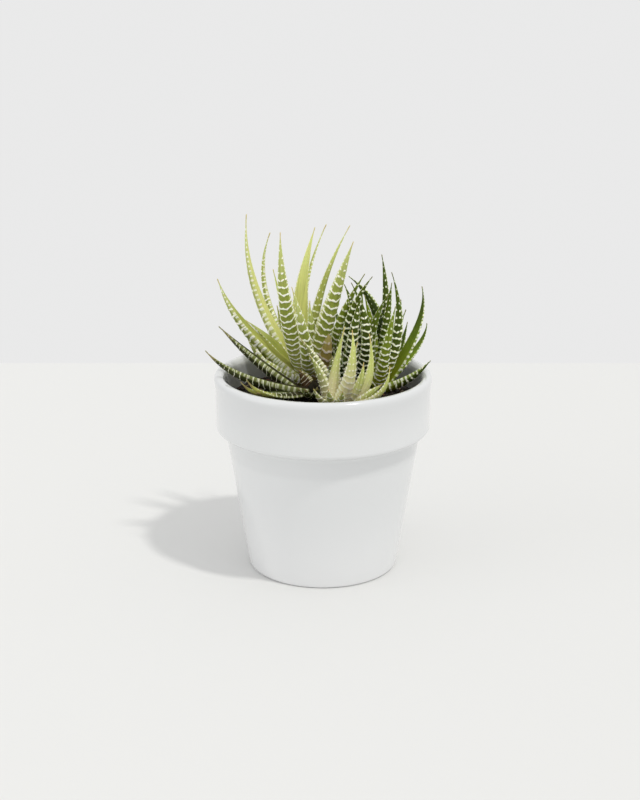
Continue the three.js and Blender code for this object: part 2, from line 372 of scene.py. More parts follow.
@dataclass(frozen=True)
class LeafFinish:
    """Waxy leaf: its colours from root to tip on both faces, its bands and its margins.

    Attributes:
        lower: Colour of the banded lower face, which lower_high follows in its further half.
        upper: Colour of the smooth upper face, which upper_high follows.
        root_share: Share of the leaf over which the root's colour fades.
        tip_start: Share of the leaf where the dry point begins.
        dry: Colour of a withered leaf.
        dark: Colour of the streaks, and of leaves with a negative tone.
        pale: Colour of the mottles, and of leaves with a positive tone.
        stained: Share of the leaf where bands and bleaching begin.
        tooth_paint: How strongly the teeth take the bands' colour.
        fade: How strongly the further half takes the margin's colour.
        streaks: How strongly the streaks show.
        streak_fineness: How fine they are along and across the leaf, per mm.
        mottles: How strongly the mottles show.
        mottle_fineness: How fine they are, per metre.
    """

    name: str
    root: Rgb
    lower: Rgb
    lower_high: Rgb
    upper: Rgb
    upper_high: Rgb
    tip: Rgb
    band: Rgb
    margin: Rgb
    bands: Bands = Bands()
    root_share: float = 0.16
    tip_start: float = 0.86
    dry: Rgb = (0.25, 0.085, 0.035)
    dark: Rgb = (0.020, 0.035, 0.010)
    pale: Rgb = (0.80, 0.80, 0.30)
    stained: float = -0.3
    tooth_paint: float = 0.9
    fade: float = 0.0
    streaks: float = 0.40
    streak_fineness: Point = (0.06, 1.6)
    mottles: float = 0.14
    mottle_fineness: float = 260.0

    def material(self) -> bpy.types.Material:
        """Builds the node material.

        Returns:
            The material.
        """
        tree = Shader(self.name)
        along, across, share = tree.attribute(PLACE)
        top, edge, seed = tree.attribute(SIDE)
        banding, tone, dried = tree.attribute(LOOK)
        lengthwise, crosswise = self.streak_fineness
        where = tree.vector(along * lengthwise, across * crosswise, seed * 40.0)
        streak = tree.noise(where, 1.0, 3.0)
        mottle = tree.noise(tree.place(), self.mottle_fineness, 3.0)
        ragged = mottle - 0.5
        dull = clamped(0.0 - tone)
        # Each face has its own colours, and the leaf's tone darkens or bleaches both
        further = smooth(share, 0.25, 0.5)
        lower = tree.mix(self.lower, self.lower_high, further)
        upper = tree.mix(self.upper, self.upper_high, further)
        body = tree.mix(lower, upper, top)
        body = tree.mix(body, self.dark, dull * 0.85)
        bleached = smooth(share, self.stained + 0.25, 0.3)
        body = tree.mix(body, self.pale, clamped(tone * (0.4 + top * 0.5)) * bleached)
        body = tree.mix(body, self.dark, smooth(streak, 0.45, 0.35) * self.streaks)
        body = tree.mix(body, self.pale, smooth(mottle, 0.50, 0.3) * self.mottles)
        body = tree.mix(body, self.margin, smooth(share, 0.55, 0.35) * self.fade)
        # The root's colour, which on the middle rosette is painted shade, fades out up the leaf
        root = tree.mix(self.root, self.dark, dull * 0.8)
        body = tree.mix(root, body, smooth(share + ragged * 0.1, 0.02, self.root_share))
        # Margins, teeth and bands lie over them
        body = tree.mix(body, self.margin, smooth(edge, 0.80, 0.18) * 0.55)
        teeth = smooth(tooth_wave(along, seed), 0.1, 0.5)
        body = tree.mix(body, self.band, teeth * smooth(edge, 0.86, 0.10) * self.tooth_paint)
        raised = self.bands.ridge(along, across, share, seed, banding) * banding * (1.0 - top)
        clean = smooth(share, self.stained, 0.25)
        body = tree.mix(body, self.band, clamped(raised * 1.3 * clean))
        # The point is dry on bright leaves, and a withered leaf is dry all over
        ends = smooth(share + ragged * 0.05, self.tip_start, 0.10)
        body = tree.mix(body, self.tip, ends * (1.0 - dull * 0.8))
        body = tree.mix(body, self.dry, clamped(dried + ragged * dried * 0.8) * 0.8)
        return tree.surface(
            Base_Color=body,
            Roughness=0.46 + mottle * 0.14 + raised * 0.12 + dried * 0.2,
            Normal=tree.bump(mottle * 0.5 + streak * 0.5, 0.00025, 0.5),
            Subsurface_Weight=0.12,
            Subsurface_Radius=(0.6, 1.0, 0.25),
            Subsurface_Scale=0.0015,
            Specular_IOR_Level=0.12,
        )


@dataclass(frozen=True)
class GlazeFinish:
    """Thick white glaze, a little uneven, with painted shade under the band, up the rim and on the
    inner wall, and painted light from the floor towards the foot. Sizes in mm.

    Attributes:
        uneven: Its colour where it lies a little thinner.
        painted_shade: Painted shade, in a ring under the band where its shadow falls and up the band
            towards the rim.
        painted_bounce: Painted light from the floor, brightest at the foot.
        painted_inner_shade: Painted shade on the inner wall below the lip.
        bounce_height: Height over which that painted light fades.
        under_start: How far below the band the painted shade under it starts.
        under_end: How far below the band it ends.
        rim_start: How far above the band's lower edge the painted shade up the rim starts.
        rim_fade: Height over which it sets in.
        shade_gap: How far below the lip's rounding the inner wall's painted shade begins to fade.
        wave_fineness: How fine the glaze's broad waves are, per metre.
        ripple_fineness: How fine its small ripples are, per metre.
    """

    name: str = "white_glaze"
    color: Rgb = (0.755, 0.765, 0.77)
    uneven: Rgb = (0.735, 0.75, 0.755)
    painted_shade: Rgb = (0.66, 0.67, 0.675)
    painted_bounce: Rgb = (0.81, 0.815, 0.82)
    painted_inner_shade: Rgb = (0.33, 0.335, 0.34)
    bounce_height: float = 50.0
    under_start: float = 14.0
    under_end: float = 3.5
    rim_start: float = 4.0
    rim_fade: float = 18.0
    shade_gap: float = 2.0
    wave_fineness: float = 22.0
    ripple_fineness: float = 420.0

    def material(self, pot: "Pot") -> bpy.types.Material:
        """Builds the node material.

        Args:
            pot: The pot, whose sizes place the glaze's tones.

        Returns:
            The material.
        """
        tree = Shader(self.name)
        broad = tree.noise(tree.place(), self.wave_fineness, 2.0)
        fine = tree.noise(tree.place(), self.ripple_fineness, 2.0)
        x, y, z = tree.split(tree.place())
        band = pot.band_bottom
        lip = pot.height - pot.lip_depth
        color = tree.mix(self.color, self.uneven, broad * 0.6)
        # Painted light: lighter towards the foot, where the floor's bounce falls
        color = tree.mix(color, self.painted_bounce, (1.0 - smooth(z, 0.0, self.bounce_height * MM)) * 0.9)
        # Painted shade: a ring under the band where its shadow falls, and the band darker towards the
        # rim
        under = smooth(z, (band - self.under_start) * MM, 4.0 * MM)
        under = under * (1.0 - smooth(z, (band - self.under_end) * MM, 1.5 * MM))
        rim = smooth(z, (band + self.rim_start) * MM, self.rim_fade * MM)
        color = tree.mix(color, self.painted_shade, under * 0.4 + rim * 0.5)
        # Painted shade on the inner wall, from the soil up to just below the lip, a little uneven
        inner = (pot.lip_inner_radius + 0.1) * MM
        inside = 1.0 - smooth(x * x + y * y, inner**2, 0.00012)
        inside = inside * smooth(z, (band + 3.0) * MM, 2.0 * MM)
        deep = 1.0 - smooth(z, (lip - self.shade_gap) * MM, 3.0 * MM)
        color = tree.mix(color, self.painted_inner_shade, inside * deep * (0.75 + broad * 0.3))
        return tree.surface(
            Base_Color=color,
            Roughness=0.13 + broad * 0.05,
            Normal=tree.bump(broad * 0.9 + fine * 0.1, 0.0004, 0.35),
            Coat_Weight=0.5,
            Coat_Roughness=0.06,
            IOR=1.5,
        )


@dataclass(frozen=True)
class SoilFinish:
    """Dark damp peat with crumbs of bark and grit, told apart by each crumb's tone.

    Attributes:
        bark_tone: The tone from which a crumb is bark.
        grit_tone: The tone from which it is grit.
        lump_fineness: How fine the peat's lumps are, per metre.
        grain_fineness: How fine its grain is, per metre.
    """

    name: str = "potting_soil"
    peat: Rgb = (0.013, 0.009, 0.007)
    crumb: Rgb = (0.040, 0.025, 0.017)
    bark: Rgb = (0.13, 0.045, 0.024)
    grit: Rgb = (0.32, 0.26, 0.18)
    bark_tone: float = 0.72
    grit_tone: float = 0.93
    lump_fineness: float = 380.0
    grain_fineness: float = 1600.0

    def material(self) -> bpy.types.Material:
        """Builds the node material.

        Returns:
            The material.
        """
        tree = Shader(self.name)
        tone, _, _ = tree.attribute(CRUMB)
        where = tree.place()
        coarse = tree.noise(where, self.lump_fineness, 4.0)
        fine = tree.noise(where, self.grain_fineness, 3.0)
        body = tree.mix(self.peat, self.crumb, smooth(coarse + tone * 0.4, 0.45, 0.35))
        body = tree.mix(body, self.bark, smooth(tone, self.bark_tone, 0.1) * 0.9)
        body = tree.mix(body, self.grit, smooth(tone, self.grit_tone, 0.04) * 0.8)
        return tree.surface(
            Base_Color=body,
            Roughness=0.78 + fine * 0.2,
            Normal=tree.bump(coarse * 0.6 + fine * 0.4, 0.0006, 0.8),
        )


@dataclass(frozen=True)
class StudioFinish:
    """Plain pale matt floor."""

    name: str = "studio_floor"
    color: Rgb = (0.746, 0.748, 0.738)

    def material(self) -> bpy.types.Material:
        """Builds the plain material."""
        return Shader(self.name).surface(Base_Color=self.color, Roughness=0.9)


# Mesh helpers


class Draws:
    """Seeded draws between 0 and 1, the same in each run."""

    FACTOR = 16807
    MODULUS = 2**31 - 1

    def __init__(self, seed: int) -> None:
        """Starts a row of draws at its first state."""
        self.state = seed

    def next(self) -> float:
        """The next draw."""
        self.state = (self.state * self.FACTOR) % self.MODULUS
        return self.state / self.MODULUS

    def between(self, low: float, high: float) -> float:
        """The next draw, spread over a range."""
        return low + (high - low) * self.next()


def turned(
    bm: bmesh.types.BMesh, profile: list[Point], steps: int
) -> list[bmesh.types.BMVert]:
    """Spins a profile about +Z into a closed body.

    Args:
        bm: The mesh to add it to.
        profile: Radius and height of its points, in mm.
        steps: How many steps it is spun in.

    Returns:
        The new body's vertices.
    """
    before = set(bm.verts)
    verts = [bm.verts.new((r * MM, 0.0, z * MM)) for r, z in profile]
    edges = [bm.edges.new(pair) for pair in zip(verts, verts[1:])]
    bmesh.ops.spin(
        bm,
        geom=verts + edges,
        axis=(0, 0, 1),
        cent=(0, 0, 0),
        steps=steps,
        angle=2 * math.pi,
        use_merge=True,
    )
    made = [v for v in bm.verts if v not in before]
    bmesh.ops.remove_doubles(bm, verts=made, dist=1e-6)
    return [v for v in bm.verts if v not in before]


def quarter_round(start: Point, corner: Point, end: Point, steps: int = 8) -> list[Point]:
    """Points of a quarter round between two points of a profile.

    Args:
        start: Its first point.
        corner: The sharp corner that it rounds.
        end: Its last point.
        steps: How many steps it has.

    Returns:
        Its points, both ends among them.
    """
    points = []
    for i in range(steps + 1):
        t = i / steps
        weights = ((1 - t) ** 2, 2 * t * (1 - t), t * t)
        both = zip(start, corner, end)
        points.append(tuple(sum(w * v for w, v in zip(weights, values)) for values in both))
    return points


def entered(name: str, data: bpy.types.ID) -> bpy.types.Object:
    """A new object in the scene.

    Args:
        name: Its name.
        data: Its mesh, camera or light.

    Returns:
        The object.
    """
    made = bpy.data.objects.new(name, data)
    bpy.context.scene.collection.objects.link(made)
    return made


def piece(bm: bmesh.types.BMesh, name: str, node: str) -> bpy.types.Object:
    """Ends a mesh and enters it as the piece that stands for a node.

    Args:
        bm: The finished mesh, in metres in the part's frame.
        name: The piece's name.
        node: The node that it stands for.

    Returns:
        The new object.
    """
    bmesh.ops.recalc_face_normals(bm, faces=bm.faces)
    mesh = bpy.data.meshes.new(name)
    bm.to_mesh(mesh)
    bm.free()
    mesh.shade_smooth()
    made = entered(name, mesh)
    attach(made, "root")
    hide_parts(node)
    return made


# Pot and soil


@dataclass
class Pot:
    """Glazed pot: a tapered body under a tall straight rim band with a rounded lip. Sizes in mm.

    Attributes:
        flare: Points where the band widens to the lip: each one's depth below the lip's rounding
            and its reach past the band.
        fillet: Radius where the glaze fills the corner under the band.
    """

    height: float = 102.0
    foot_radius: float = 38.3
    foot_rounding: float = 1.6
    body_top_radius: float = 49.8
    band_bottom: float = 73.3
    band_radius: float = 54.4
    band_rounding: float = 2.4
    lip_radius: float = 55.0
    lip_inner_radius: float = 50.2
    lip_depth: float = 3.0
    flare: tuple[Point, ...] = ((6.0, 0.0), (4.0, 0.12), (1.6, 0.4))
    wall: float = 4.4
    floor_thickness: float = 6.0
    fillet: float = 1.5
    body_rings: int = 12
    steps: int = 192
    finish: GlazeFinish = GlazeFinish()

    def body_radius(self, z: float) -> float:
        """Radius of the tapered body at a height."""
        share = z / self.band_bottom
        return self.foot_radius + (self.body_top_radius - self.foot_radius) * share

    def inner_radius(self, z: float) -> float:
        """Radius of the inner wall.

        Args:
            z: The height.

        Returns:
            The radius.
        """
        if z < self.band_bottom:
            return self.body_radius(z) - self.wall
        share = (z - self.band_bottom) / (self.height - self.band_bottom)
        low = self.body_top_radius - self.wall
        return low + (self.lip_inner_radius - low) * share

    def profile(self) -> list[Point]:
        """The outline of the pot's section, from the foot's middle round to the inner floor.

        Returns:
            Radius and height of its points.
        """
        top = self.height
        below = top - self.lip_depth
        crest = (self.lip_radius + self.lip_inner_radius) / 2
        middle = (self.band_bottom + below) / 2
        join = self.band_bottom - self.fillet
        ground = self.foot_radius - self.foot_rounding
        climb = (join - self.foot_rounding) / self.body_rings
        heights = [self.foot_rounding + climb * i for i in range(self.body_rings)]
        rise = [(self.body_radius(z), z) for z in heights]
        return [
            (0.0, 0.0),
            (ground / 2, 0.0),
            *quarter_round((ground, 0.0), (self.foot_radius, 0.0), rise[0])[:-1],
            *rise,
            *quarter_round(
                (self.body_radius(join), join),
                (self.body_top_radius, self.band_bottom),
                (self.body_top_radius + self.fillet, self.band_bottom),
                4,
            ),
            *quarter_round(
                (self.band_radius - self.band_rounding, self.band_bottom),
                (self.band_radius, self.band_bottom),
                (self.band_radius, self.band_bottom + self.band_rounding),
            ),
            (self.band_radius, middle),
            *[(self.band_radius + reach, below - depth) for depth, reach in self.flare],
            *quarter_round((self.lip_radius, below), (self.lip_radius, top), (crest, top), 10),
            *quarter_round(
                (crest, top), (self.lip_inner_radius, top), (self.inner_radius(below), below), 10
            )[1:],
            (self.inner_radius(middle), middle),
            (self.inner_radius(self.band_bottom), self.band_bottom),
            (self.inner_radius(self.floor_thickness), self.floor_thickness),
            (0.0, self.floor_thickness),
        ]

    def build(self) -> bpy.types.Object:
        """Builds and dresses the pot.

        Returns:
            The pot's object.
        """
        bm = bmesh.new()
        turned(bm, self.profile(), self.steps)
        made = piece(bm, "pot", "planter")
        self.dress(made)
        return made

    def dress(self, made: bpy.types.Object) -> None:
        """Gives the pot its glaze."""
        made.data.materials.append(self.finish.material(self))


@dataclass
class Soil:
    """Potting soil: a body that fills the pot, with an uneven top covered in crumbs. Sizes in mm.

    Attributes:
        swells: The surface's broad swells, lumps and grain: each one's fineness, its slice of the
            noise and its share of the unevenness.
        level_edge: Width along the pot's wall that stays level.
        crumb_edge: Width along the pot's wall without the middle of a crumb.
        stretch: How much longer than wide a crumb may be.
        lift: How far a crumb's middle may lie above the surface, as a share of its radius.
        tilt: How far a crumb may lean, in radians.
        flatness: A crumb's height as a share of its width.
        roughness: How far a crumb's points stand in or out, as a share of its radius.
        fineness: How fine that roughness is, per metre.
        bare_tone: The tone of the soil between the crumbs.
    """

    pot: Pot
    top: float = 88.6
    unevenness: float = 0.55
    swells: tuple[Place, ...] = ((0.05, 3.0, 1.2), (0.28, 9.0, 1.1), (0.9, 17.0, 0.6))
    level_edge: float = 0.5
    fit: float = 0.3
    rings: int = 44
    steps: int = 132
    small_crumbs: int = 2300
    large_crumbs: int = 330
    small_radius: Span = (0.35, 0.9)
    large_radius: Span = (0.8, 1.7)
    crumb_edge: float = 1.6
    stretch: Span = (0.7, 1.5)
    lift: Span = (-0.1, 0.5)
    tilt: Span = (-0.6, 0.6)
    flatness: Span = (0.5, 0.9)
    roughness: float = 0.5
    fineness: float = 900.0
    bare_tone: float = 0.2
    batch_size: int = 80
    seed: int = 4242
    finish: SoilFinish = SoilFinish()

    def height(self, x: float, y: float) -> float:
        """Height of the soil's surface.

        Args:
            x: Place to the right.
            y: Place to the back.

        Returns:
            The height.
        """
        swell = sum(
            noise.noise(Vector((x * fineness, y * fineness, part))) * share
            for fineness, part, share in self.swells
        )
        return self.top + self.unevenness * swell

    def crumb(self, bm: bmesh.types.BMesh, draws: Draws, small: bool) -> None:
        """Adds one crumb that is half sunk in the surface.

        Args:
            bm: The mesh to add it to.
            draws: The row of draws that places it.
            small: Whether it is one of the small ones.
        """
        away = (self.pot.inner_radius(self.top) - self.crumb_edge) * math.sqrt(draws.next())
        turn = draws.between(0, 2 * math.pi)
        x = away * math.cos(turn)
        y = away * math.sin(turn)
        radius = draws.between(*(self.small_radius if small else self.large_radius))
        stretch = draws.between(*self.stretch)
        lift = draws.between(*self.lift) * radius
        spin = Matrix.Rotation(draws.between(0, math.pi), 4, "Z")
        tilt = Matrix.Rotation(draws.between(*self.tilt), 4, "X")
        flat = Matrix.Diagonal((stretch, 1.0 / stretch, draws.between(*self.flatness), 1.0))
        place = Matrix.Translation(Vector((x, y, self.height(x, y) + lift)) * MM)
        made = bmesh.ops.create_icosphere(
            bm,
            subdivisions=1 if small else 2,
            radius=radius * MM,
            matrix=place @ spin @ tilt @ flat,
        )
        middle = place.translation
        tone = draws.next()
        tones = bm.verts.layers.float_vector[CRUMB]
        for vert in made["verts"]:
            rough = 1.0 + self.roughness * noise.noise(vert.co * self.fineness)
            vert.co = middle + (vert.co - middle) * rough
            vert[tones] = (tone, 0.0, 0.0)

    def body(self) -> bmesh.types.BMesh:
        """The soil's body with its uneven top.

        Returns:
            A new mesh.
        """
        bm = bmesh.new()
        tones = bm.verts.layers.float_vector.new(CRUMB)
        bottom = self.pot.floor_thickness + self.fit
        edge = self.pot.inner_radius(self.top) - self.fit
        profile = [
            (0.0, bottom),
            (self.pot.inner_radius(bottom) - self.fit, bottom),
            (self.pot.inner_radius(self.pot.band_bottom) - self.fit, self.pot.band_bottom),
            *[(edge * i / self.rings, self.top) for i in range(self.rings, -1, -1)],
        ]
        for vert in turned(bm, profile, self.steps):
            vert[tones] = (self.bare_tone, 0.0, 0.0)
            away = math.hypot(vert.co.x, vert.co.y) / MM
            on_top = vert.co.z > (self.top - 1.0) * MM
            if on_top and away < edge - self.level_edge:
                vert.co.z = self.height(vert.co.x / MM, vert.co.y / MM) * MM
        return bm

    def build(self) -> bpy.types.Object:
        """Builds and dresses the soil, with its crumbs made in batches, which is faster.

        Returns:
            The soil's object.
        """
        bm = self.body()
        draws = Draws(self.seed)
        sizes = [True] * self.small_crumbs + [False] * self.large_crumbs
        batch = bpy.data.meshes.new("batch")
        for first in range(0, len(sizes), self.batch_size):
            part = bmesh.new()
            part.verts.layers.float_vector.new(CRUMB)
            for small in sizes[first : first + self.batch_size]:
                self.crumb(part, draws, small)
            part.to_mesh(batch)
            part.free()
            bm.from_mesh(batch)
        bpy.data.meshes.remove(batch)
        made = piece(bm, "potting_soil", "soil")
        self.dress(made)
        return made

    def dress(self, made: bpy.types.Object) -> None:
        """Gives the soil its browns."""
        made.data.materials.append(self.finish.material())


# Rosettes

HIDDEN_SEED = 101
LOOK_SEED = 977
LOOK_SEED_STEP = 31


def heading(turn: float, lean: float) -> Vector:
    """Direction at a turn from +X and a lean from upright, both in degrees."""
    around = Matrix.Rotation(math.radians(turn), 3, "Z")
    return around @ Matrix.Rotation(math.radians(lean), 3, "Y") @ Vector((0, 0, 1))


@dataclass(frozen=True)
class Leaf:
    """One leaf: how it leaves the stem, where its tip is, and how it looks. Sizes in mm.

    Attributes:
        turn: The way that it leaves the stem, in degrees from +X.
        lean: How far from upright it leaves the stem, in degrees.
        tip: Place of its tip.
        facing: The way that its banded lower face looks, in degrees, or None for its turn.
        seat: The side of the stem that it is rooted in, in degrees, or None for its turn.
        rise: How far above the crown it is rooted.
        hold: How long it keeps its first direction, as a share of its reach.
        taper: How far up it keeps its width.
        spacing: How much wider apart its bands lie.
        tone: How much paler it is than its kind, or darker where this is negative.
        dry: How withered it is.
        pattern: How strongly it is banded.
    """

    turn: float
    lean: float
    tip: Place
    width: float
    facing: float | None = None
    seat: float | None = None
    rise: float = 0.0
    hold: float = 0.55
    taper: float = 2.6
    spacing: float = 1.0
    tone: float = 0.0
    dry: float = 0.0
    pattern: Pattern = Pattern.BANDED


@dataclass(frozen=True)
class Sector:
    """Low leaves that the tall ones hide, evenly turned over a sector. Sizes in mm and degrees.

    Attributes:
        low_start: How much lower than the sector's lean a leaf leaves the stem.
        high_end: How much higher than the sector's lean its tip lies.
    """

    count: int
    start: float
    end: float
    lean: float
    length: float
    width: float
    turn_spread: float = 8.0
    lean_spread: float = 10.0
    length_spread: float = 0.2
    low_start: float = 8.0
    high_end: float = 6.0
    tone: float = -0.2


@dataclass(frozen=True)
class LeafShape:
    """How every leaf's blade is made. Sizes in mm.

    Attributes:
        attenuation: How finely a blade ends.
        thickness: Depth of the keel as a share of the width.
        crown: Rise of the upper face as a share of the half width.
        keel: How full the lower face is: below 1 it is rounder than a half circle.
        tooth_spread: How much smaller than the largest tooth a middling one is.
        full_size: Half width from which bands and teeth have their full size.
        margin: Share of the half width from which a corner is at the margin.
        girth: Distance round the keel to the margin as a share of the half width.
        legs: Share that the two legs of a leaf's bend have in its length.
        chord: Share that the straight line from root to tip has in it.
        root: How deep in the stem a leaf is rooted, as a share of the stem's radius.
    """

    lower_steps: int = 16
    upper_steps: int = 6
    ring_length: float = 0.5
    least_rings: int = 24
    attenuation: float = 1.2
    thickness: float = 0.5
    crown: float = 0.2
    keel: float = 0.9
    tip_half_width: float = 0.22
    tip_thickness: float = 0.45
    relief: float = 0.34
    tooth: float = 0.42
    tooth_spread: float = 0.25
    full_size: float = 2.5
    margin: float = 0.99
    girth: float = 1.25
    legs: float = 0.55
    chord: float = 0.42
    root: float = 0.65

    def corner(self, step: int) -> tuple[float, float, float, float]:
        """A corner of the section.

        Args:
            step: Its number, from the right margin over the upper face and back below.

        Returns:
            Its place across and through the leaf as shares, 1 on the upper face and 0 on the
            lower, and 1 at a margin falling to 0 at the middle.
        """
        if step <= self.upper_steps:
            t = step / self.upper_steps
            across = math.cos(math.pi * t)
            through = self.crown * (1 - across * across)
            top = 1.0 if 0 < step < self.upper_steps else 0.5
        else:
            t = (step - self.upper_steps) / self.lower_steps
            across = -math.cos(math.pi * t)
            through = -(abs(math.sin(math.pi * t)) ** self.keel)
            top = 0.0 if 0 < t < 1 else 0.5
        return across, through, top, abs(across)


@dataclass(frozen=True)
class Ring:
    """One ring of a leaf's blade: its share of the way, its middle, its axes and its size in mm."""

    share: float
    middle: Vector
    side: Vector
    upper: Vector
    half: float
    deep: float


@dataclass
class Rosette:
    """One rosette: its stem and its leaves in one mesh. Sizes in mm.

    Attributes:
        stem: Place of the stem's axis.
        crown: Height where the leaves leave the stem.
        leaves: The leaves that are placed one by one.
        hidden: The low leaves among and behind them.
        index: Its number, which starts its draws.
        stem_narrowing: The radius at the stem's bottom and shoulder as a share of the full one.
        dome_start: How far below the crown the stem begins to narrow.
        dome_shoulder: How far above the crown its shoulder is.
        dome_top: How far above the crown its top is.
    """

    name: str
    slot: str
    finish: LeafFinish
    stem: tuple[float, float]
    stem_radius: float
    crown: float
    leaves: list[Leaf]
    hidden: Sector
    index: int = 0
    shape: LeafShape = field(default_factory=LeafShape)
    stem_sides: int = 24
    stem_bottom: float = 79.0
    stem_narrowing: float = 0.8
    dome_start: float = 2.0
    dome_shoulder: float = 4.2
    dome_top: float = 7.0

    def hidden_leaves(self) -> list[Leaf]:
        """The low hidden leaves, placed by rule with seeded draws.

        Returns:
            The leaves.
        """
        draws = Draws(HIDDEN_SEED + self.index)
        sector = self.hidden
        made = []
        for i in range(sector.count):
            even = sector.start + (sector.end - sector.start) * (i + 0.5) / sector.count
            turn = even + (draws.next() - 0.5) * sector.turn_spread
            lean = sector.lean + (draws.next() - 0.5) * sector.lean_spread
            reach = sector.length * (1 + (draws.next() - 0.5) * sector.length_spread)
            base = Vector((*self.stem, self.crown))
            tip = base + heading(turn, lean - sector.high_end) * reach
            low = lean + sector.low_start
            made.append(Leaf(turn, low, tuple(tip), sector.width, tone=sector.tone))
        return made

    def curve(self, leaf: Leaf) -> tuple[Vector, Vector, Vector]:
        """The three points of a leaf's middle line.

        Args:
            leaf: The leaf.

        Returns:
            Its root, its bend and its tip.
        """
        seat = leaf.turn if leaf.seat is None else leaf.seat
        root = Vector((*self.stem, self.crown + leaf.rise))
        root += heading(seat, 90) * self.stem_radius * self.shape.root
        tip = Vector(leaf.tip)
        bend = root + heading(leaf.turn, leaf.lean) * leaf.hold * (tip - root).length
        return root, bend, tip

    def length(self, leaf: Leaf) -> float:
        """A leaf's length, near enough, from the legs of its bend and its chord.

        Args:
            leaf: The leaf.

        Returns:
            The length.
        """
        root, bend, tip = self.curve(leaf)
        legs = (bend - root).length + (tip - bend).length
        return legs * self.shape.legs + (tip - root).length * self.shape.chord

    def rings(self, leaf: Leaf) -> list[Ring]:
        """The rings of a leaf's blade, from its root to its tip.

        Args:
            leaf: The leaf.

        Returns:
            The rings. The first has no size, so that the root is closed.
        """
        shape = self.shape
        root, bend, tip = self.curve(leaf)
        count = max(shape.least_rings, round(self.length(leaf) / shape.ring_length))
        facing = math.radians(leaf.turn if leaf.facing is None else leaf.facing)
        level = Vector((math.sin(facing), -math.cos(facing), 0))
        rings = []
        for i in range(count + 1):
            t = i / count
            middle = root * (1 - t) ** 2 + bend * 2 * t * (1 - t) + tip * t * t
            ahead = ((bend - root) * (1 - t) + (tip - bend) * t).normalized()
            side = (level - ahead * level.dot(ahead)).normalized()
            full = (1 - t**leaf.taper) ** shape.attenuation if i else 0.0
            half = leaf.width / 2 * full
            deep = leaf.width * shape.thickness * full
            if 0 < i < count:
                half = max(half, shape.tip_half_width)
                deep = max(deep, shape.tip_thickness)
            rings.append(Ring(t, middle, side, side.cross(ahead), half, deep))
        return rings

    def add_leaf(self, bm: bmesh.types.BMesh, leaf: Leaf, seed: float) -> None:
        """Adds one leaf: a grid that is wrapped round its rings, with raised bands and teeth.

        Args:
            bm: The rosette's mesh.
            leaf: The leaf.
            seed: A number from 0 to 1 that differs by leaf.
        """
        shape = self.shape
        strength = leaf.pattern.value
        length = self.length(leaf)
        rings = self.rings(leaf)
        last = len(rings) - 1
        steps = shape.upper_steps + shape.lower_steps
        sections = [shape.corner(step) for step in range(steps + 1)]
        made = bmesh.ops.create_grid(bm, x_segments=steps, y_segments=last, size=1.0)["verts"]
        places = bm.verts.layers.float_vector[PLACE]
        sides = bm.verts.layers.float_vector[SIDE]
        looks = bm.verts.layers.float_vector[LOOK]
        for vert in made:
            across, through, top, edge = sections[round((vert.co.x + 1) / 2 * steps)]
            ring = rings[round((vert.co.y + 1) / 2 * last)]
            along = ring.share * length / leaf.spacing
            offset = across * ring.half * shape.girth
            ridge = self.finish.bands.ridge(along, offset, ring.share, seed, strength)
            grow = min(ring.half / shape.full_size, 1.0)
            out = shape.relief * ridge * strength * (1 - top) * grow
            uneven = math.sin(along * 1.9 + across * 2.0 + seed * 33.0) - 1.0
            wave = max(tooth_wave(along, seed) * (1.0 + shape.tooth_spread * uneven), 0.0)
            tooth = shape.tooth * wave * grow if edge > shape.margin else 0.0
            reach = math.hypot(across * ring.half, through * ring.deep) or 1.0
            x = across * ring.half * (1 + out / reach) + math.copysign(tooth, across)
            z = through * ring.deep * (1 + out / reach)
            vert.co = (ring.middle + ring.side * x + ring.upper * z) * MM
            vert[places] = (along, offset, ring.share)
            vert[sides] = (top, edge, seed)
            vert[looks] = (strength, leaf.tone, leaf.dry)
        bmesh.ops.remove_doubles(bm, verts=made, dist=1e-7)

    def add_stem(self, bm: bmesh.types.BMesh) -> None:
        """Adds the short stem, which has the colour of a dark leaf's root.

        Args:
            bm: The rosette's mesh.
        """
        radius = self.stem_radius
        profile = [
            (0.0, self.stem_bottom),
            (radius * self.stem_narrowing, self.stem_bottom),
            (radius, self.crown - self.dome_start),
            (radius * self.stem_narrowing, self.crown + self.dome_shoulder),
            (0.0, self.crown + self.dome_top),
        ]
        for vert in turned(bm, profile, self.stem_sides):
            vert.co += Vector((*self.stem, 0.0)) * MM
            vert[bm.verts.layers.float_vector[PLACE]] = (0.0, 0.0, 0.05)
            vert[bm.verts.layers.float_vector[LOOK]] = (0.0, -1.0, 0.0)

    def build(self) -> bpy.types.Object:
        """Builds and dresses the rosette.

        Returns:
            The rosette's object.
        """
        bm = bmesh.new()
        for layer in (PLACE, SIDE, LOOK):
            bm.verts.layers.float_vector.new(layer)
        self.add_stem(bm)
        draws = Draws(LOOK_SEED + LOOK_SEED_STEP * self.index)
        for leaf in [*self.leaves, *self.hidden_leaves()]:
            self.add_leaf(bm, leaf, draws.next())
        made = piece(bm, self.name + "_leaves", self.name)
        self.dress(made)
        return made

    def dress(self, made: bpy.types.Object) -> None:
        """Gives the rosette its wax and bands."""
        made.data.materials.append(self.finish.material())


# Leaf finishes

